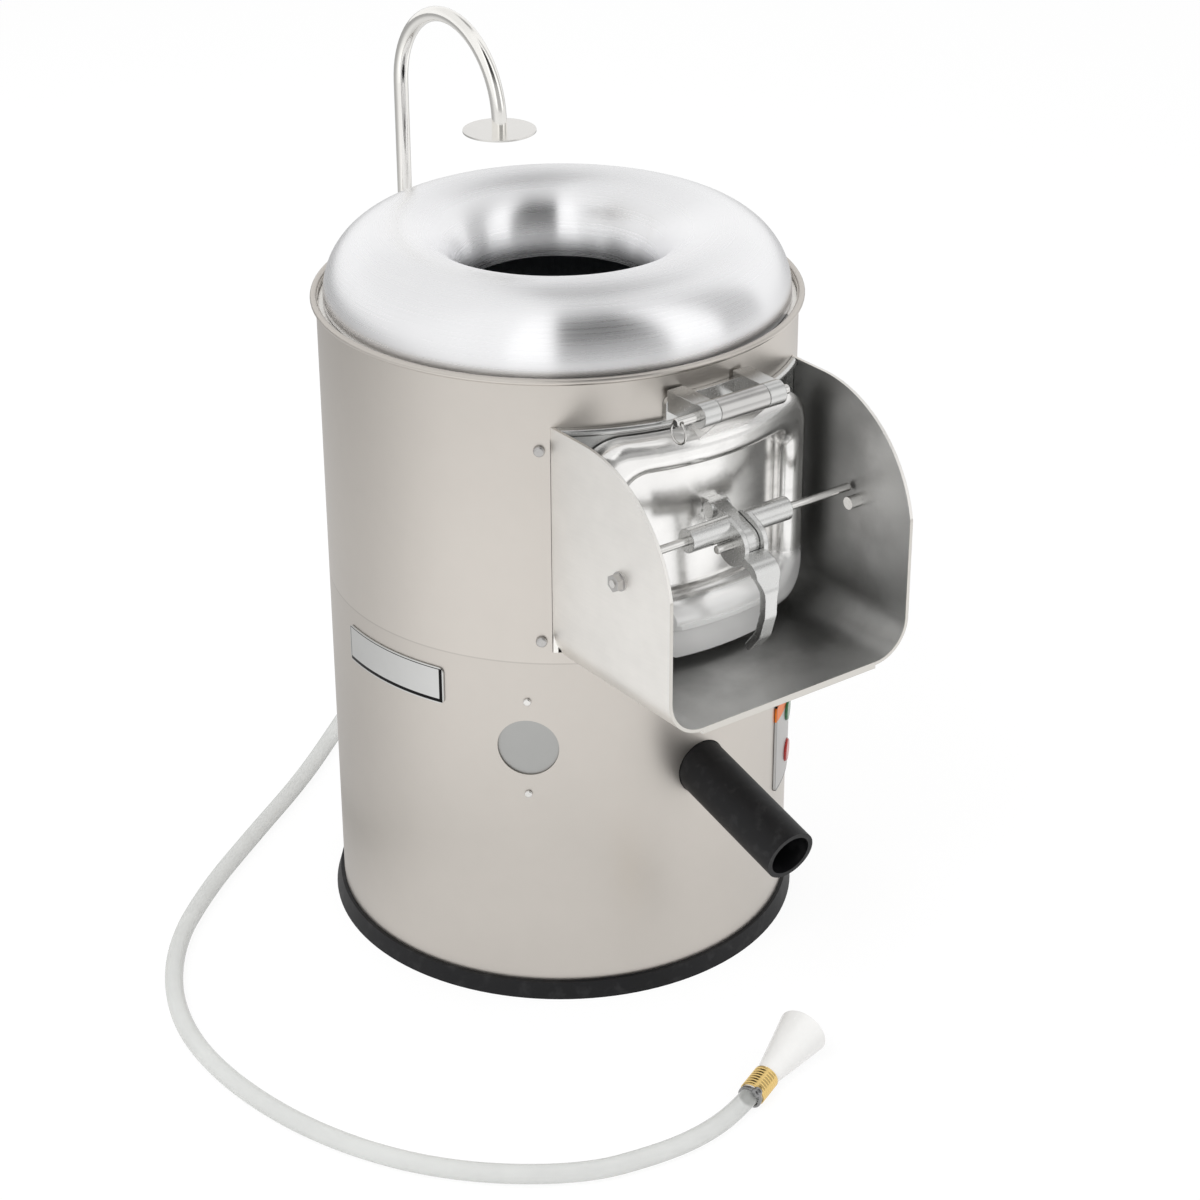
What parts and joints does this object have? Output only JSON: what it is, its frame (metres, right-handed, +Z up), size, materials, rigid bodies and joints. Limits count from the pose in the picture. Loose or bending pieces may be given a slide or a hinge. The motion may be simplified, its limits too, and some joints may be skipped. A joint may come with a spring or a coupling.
{
  "type": "electric batch potato peeler",
  "caption": "Bench-top batch peeler: steel drum with spun cover, front discharge door in a chute, spinning abrasive disc, drain tube, gooseneck water pipe and clear hose with faucet adapter.",
  "frame": {"origin": "centre of the base on the bench", "axes": "+Z up along the drum's axis, -Y towards the chute and door, +X to the right seen from the front"},
  "size_m": [0.638, 0.8243, 0.7886],
  "materials": {
    "satin_stainless": "satin",
    "black_rubber": "matte",
    "grey_paint": "satin",
    "brushed_stainless": "brushed",
    "cast_aluminium": "satin",
    "polished_aluminium": "polished",
    "spun_aluminium": "polished",
    "bright_steel": "polished",
    "polished_pipe": "polished",
    "white_rubber": "matte",
    "grey_plastic": "matte",
    "plate_grey": "satin",
    "plate_silver": "satin",
    "black_plastic": "matte",
    "green_plastic": "gloss",
    "red_plastic": "gloss",
    "grit_coat": "rough",
    "lining_black": "matte",
    "cast_iron": "rough",
    "motor_paint": "satin",
    "laminations": "satin",
    "brass": "polished",
    "clear_pvc": "gloss",
    "white_plastic": "gloss"
  },
  "bodies": {
    "housing": {"wrapper_shell": "satin_stainless", "base_ring": "black_rubber", "base_plate": "grey_paint", "frame_posts": "grey_paint", "drain_pan": "grey_paint", "hopper_tub": "brushed_stainless", "hopper_liner": "lining_black", "chute": "brushed_stainless", "chute_screws": "bright_steel", "latch_studs": "bright_steel", "stud_nuts": "bright_steel", "door_frame": "cast_aluminium", "blank_plate": "plate_grey", "blank_screws": "bright_steel", "nameplate": "plate_silver", "switch_plate": "plate_silver", "switch_box": "black_plastic", "cord_gland": "black_plastic", "drain_elbow": "grey_plastic", "drain_hose": "black_rubber", "drain_clamp": "bright_steel", "bearing_housing": "grey_paint", "lower_bearing": "bright_steel", "upper_bearing": "bright_steel", "shaft_seal": "black_rubber", "drive_belt": "black_rubber", "motor_body": "motor_paint", "motor_bells": "motor_paint", "motor_stator": "laminations", "motor_plate": "grey_paint", "motor_capacitor": "black_plastic", "pipe_clips": "bright_steel", "clip_screws": "bright_steel", "inlet_fitting": "brass", "inlet_clamp": "bright_steel", "water_hose": "clear_pvc", "adapter_clamp": "brass", "faucet_adapter": "white_plastic"},
    "shaft": {"main_shaft": "bright_steel", "driven_pulley": "cast_iron", "slinger": "brushed_stainless", "drive_hub": "cast_aluminium"},
    "disc": {"abrasive_disc": "grit_coat"},
    "rotor": {"motor_shaft": "bright_steel", "motor_rotor": "laminations", "motor_pulley": "cast_iron"},
    "door": {"door_panel": "polished_aluminium", "door_gasket": "white_rubber", "door_plug": "grey_plastic", "latch_bracket": "cast_aluminium"},
    "latch": {"latch_lever": "cast_aluminium", "latch_rods": "bright_steel", "latch_pivot_pin": "bright_steel"},
    "pin": {"hinge_pin": "bright_steel", "hinge_pin_ring": "bright_steel"},
    "cover": {"top_cover": "spun_aluminium"},
    "gooseneck": {"gooseneck_pipe": "polished_pipe", "deflector_disc": "polished_pipe"},
    "start": {"start_button": "green_plastic"},
    "stop": {"stop_button": "red_plastic"}
  },
  "joints": [
    {"name": "cover_lift", "type": "slide", "parent": "housing", "child": "cover", "axis": [0, 0, 1], "range_m": [0, 0.076]},
    {"name": "door_swing", "type": "hinge", "parent": "housing", "child": "door", "pos_m": [0, -0.242, 0.554], "axis": [-1, 0, 0], "range_deg": [0, 100]},
    {"name": "latch_turn", "type": "hinge", "parent": "door", "child": "latch", "pos_m": [0, -0.25, 0.437], "axis": [-1, 0, 0], "range_deg": [0, 88]},
    {"name": "hinge_pin_pull", "type": "slide", "parent": "housing", "child": "pin", "axis": [-1, 0, 0], "range_m": [0, 0.116]},
    {"name": "shaft_spin", "type": "hinge", "parent": "housing", "child": "shaft", "pos_m": [0, 0, 0.2], "axis": [0, 0, 1], "continuous": true},
    {"name": "disc_lift", "type": "slide", "parent": "shaft", "child": "disc", "axis": [0, 0, 1], "range_m": [0, 0.2]},
    {"name": "motor_spin", "type": "hinge", "parent": "housing", "child": "rotor", "pos_m": [0, 0.112, 0.15], "axis": [0, 0, 1], "continuous": true},
    {"name": "gooseneck_swivel", "type": "hinge", "parent": "housing", "child": "gooseneck", "pos_m": [-0.011, 0.215, 0.3], "axis": [0, 0, 1], "range_deg": [-100, 100]},
    {"name": "start_press", "type": "slide", "parent": "housing", "child": "start", "axis": [-0.6691, 0.7431, 0], "range_m": [0, 0.004], "stiffness_N_per_m": 300},
    {"name": "stop_press", "type": "slide", "parent": "housing", "child": "stop", "axis": [-0.6691, 0.7431, 0], "range_m": [0, 0.004], "stiffness_N_per_m": 300}
  ],
  "couplings": [
    {"joint": "motor_spin", "follows": "shaft_spin", "ratio": 3.8718}
  ]
}
